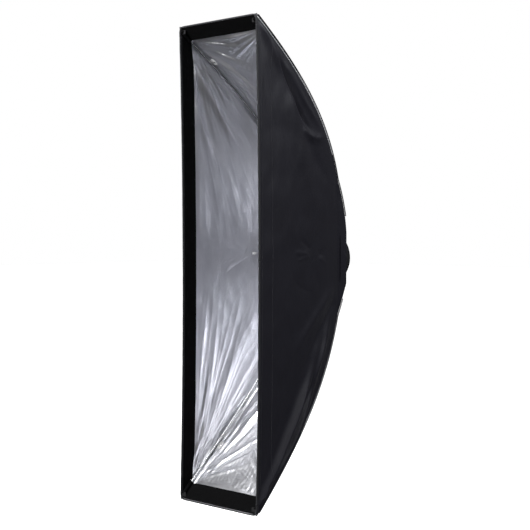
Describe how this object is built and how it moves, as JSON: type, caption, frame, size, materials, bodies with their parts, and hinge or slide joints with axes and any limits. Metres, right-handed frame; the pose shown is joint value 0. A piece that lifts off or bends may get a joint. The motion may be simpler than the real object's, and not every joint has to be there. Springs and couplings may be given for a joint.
{
  "type": "strip softbox",
  "caption": "Tall narrow fabric softbox with silver lining, bowed corner rods that fold forward, a turning ring and a bayonet lamp mount.",
  "frame": {"origin": "centre of the lamp mount's bore, on the plate face that meets the lamp", "axes": "+Z along the box's long side, +Y out of the back towards the lamp, the light opening faces -Y"},
  "size_m": [0.3074, 0.5433, 1.4],
  "materials": {
    "black_nylon": "satin woven nylon",
    "silver_lining": "metallised, crinkled",
    "loop_tape": "matt looped pile",
    "hem_binding": "ribbed binding tape",
    "silver_piping": "metallised edge",
    "webbing": "woven webbing",
    "strap": "woven strap",
    "black_aluminium": "satin anodised",
    "plain_aluminium": "brushed",
    "steel": "zinc plated",
    "spring_steel": "drawn rod",
    "black_plastic": "moulded",
    "red_plastic": "moulded",
    "brake_pad": "hard rubber"
  },
  "bodies": {
    "lamp_adapter": {"lamp_insert": "plain_aluminium", "lamp_lugs": "steel", "insert_rivets": "steel"},
    "speedring": {"ring_body": "black_aluminium", "front_plate": "black_aluminium", "plate_screws": "steel", "rod_brackets": "steel", "bracket_rivets": "steel", "hinge_pins": "steel", "collar": "black_nylon", "collar_strap": "strap", "side_panel_left": "black_nylon", "side_panel_right": "black_nylon", "side_lining_left": "silver_lining", "side_lining_right": "silver_lining", "side_tape_left": "loop_tape", "side_tape_right": "loop_tape", "hem_left": "hem_binding", "hem_right": "hem_binding", "side_hooks": "webbing"},
    "lock_slider": {"lock_pad": "brake_pad"},
    "lock_screw_body": {"lock_knob": "black_plastic", "lock_screw": "steel"},
    "rod_upper_left": {"rod_ul": "spring_steel", "rod_tip_ul": "black_plastic", "rod_holder_ul": "plain_aluminium", "piping_ul": "silver_piping", "top_panel": "black_nylon", "top_lining": "silver_lining", "top_tape": "loop_tape", "hem_top": "hem_binding", "top_corner_pockets": "strap", "top_snap_tabs": "webbing"},
    "rod_upper_right": {"rod_ur": "spring_steel", "rod_tip_ur": "black_plastic", "rod_holder_ur": "plain_aluminium", "piping_ur": "silver_piping"},
    "rod_lower_left": {"rod_ll": "spring_steel", "rod_tip_ll": "black_plastic", "rod_holder_ll": "plain_aluminium", "piping_ll": "silver_piping", "bottom_panel": "black_nylon", "bottom_lining": "silver_lining", "bottom_tape": "loop_tape", "hem_bottom": "hem_binding", "bottom_corner_pockets": "strap", "bottom_snap_tabs": "webbing"},
    "rod_lower_right": {"rod_lr": "spring_steel", "rod_tip_lr": "black_plastic", "rod_holder_lr": "plain_aluminium", "piping_lr": "silver_piping"},
    "button_upper_left": {"release_button_ul": "red_plastic"},
    "button_upper_right": {"release_button_ur": "red_plastic"},
    "button_lower_left": {"release_button_ll": "red_plastic"},
    "button_lower_right": {"release_button_lr": "red_plastic"}
  },
  "joints": [
    {"name": "ring_turn", "type": "hinge", "parent": "lamp_adapter", "child": "speedring", "pos_m": [0, 0, 0], "axis": [0, 1, 0], "continuous": true},
    {"name": "fold_upper_left", "type": "hinge", "parent": "speedring", "child": "rod_upper_left", "pos_m": [-0.0575, -0.038, 0.042], "axis": [1, 0, 0], "range_deg": [0, 50], "deforming": ["side_panel_left", "side_panel_right", "side_lining_left", "side_lining_right", "side_tape_left", "side_tape_right", "hem_left", "hem_right", "collar"]},
    {"name": "fold_upper_right", "type": "hinge", "parent": "speedring", "child": "rod_upper_right", "pos_m": [0.0575, -0.038, 0.042], "axis": [1, 0, 0], "range_deg": [0, 50]},
    {"name": "fold_lower_left", "type": "hinge", "parent": "speedring", "child": "rod_lower_left", "pos_m": [-0.0575, -0.038, -0.042], "axis": [1, 0, 0], "range_deg": [-50, 0]},
    {"name": "fold_lower_right", "type": "hinge", "parent": "speedring", "child": "rod_lower_right", "pos_m": [0.0575, -0.038, -0.042], "axis": [1, 0, 0], "range_deg": [-50, 0]},
    {"name": "press_upper_left", "type": "slide", "parent": "speedring", "child": "button_upper_left", "axis": [-1, 0, 0], "range_m": [0, 0.003], "stiffness_N_per_m": 150, "springref_m": -0.002},
    {"name": "press_upper_right", "type": "slide", "parent": "speedring", "child": "button_upper_right", "axis": [1, 0, 0], "range_m": [0, 0.003], "stiffness_N_per_m": 150, "springref_m": -0.002},
    {"name": "press_lower_left", "type": "slide", "parent": "speedring", "child": "button_lower_left", "axis": [-1, 0, 0], "range_m": [0, 0.003], "stiffness_N_per_m": 150, "springref_m": -0.002},
    {"name": "press_lower_right", "type": "slide", "parent": "speedring", "child": "button_lower_right", "axis": [1, 0, 0], "range_m": [0, 0.003], "stiffness_N_per_m": 150, "springref_m": -0.002},
    {"name": "lock_travel", "type": "slide", "parent": "speedring", "child": "lock_slider", "axis": [-1, 0, 0], "range_m": [0, 0.0016]},
    {"name": "lock_turn", "type": "hinge", "parent": "lock_slider", "child": "lock_screw_body", "pos_m": [-0.1, -0.0085, 0], "axis": [-1, 0, 0], "range_deg": [0, 720]}
  ],
  "couplings": [
    {"joint": "fold_upper_right", "follows": "fold_upper_left", "ratio": 1},
    {"joint": "fold_lower_left", "follows": "fold_upper_left", "ratio": -1},
    {"joint": "fold_lower_right", "follows": "fold_upper_left", "ratio": -1},
    {"joint": "lock_turn", "follows": "lock_travel", "rad_per_m": 7854}
  ]
}
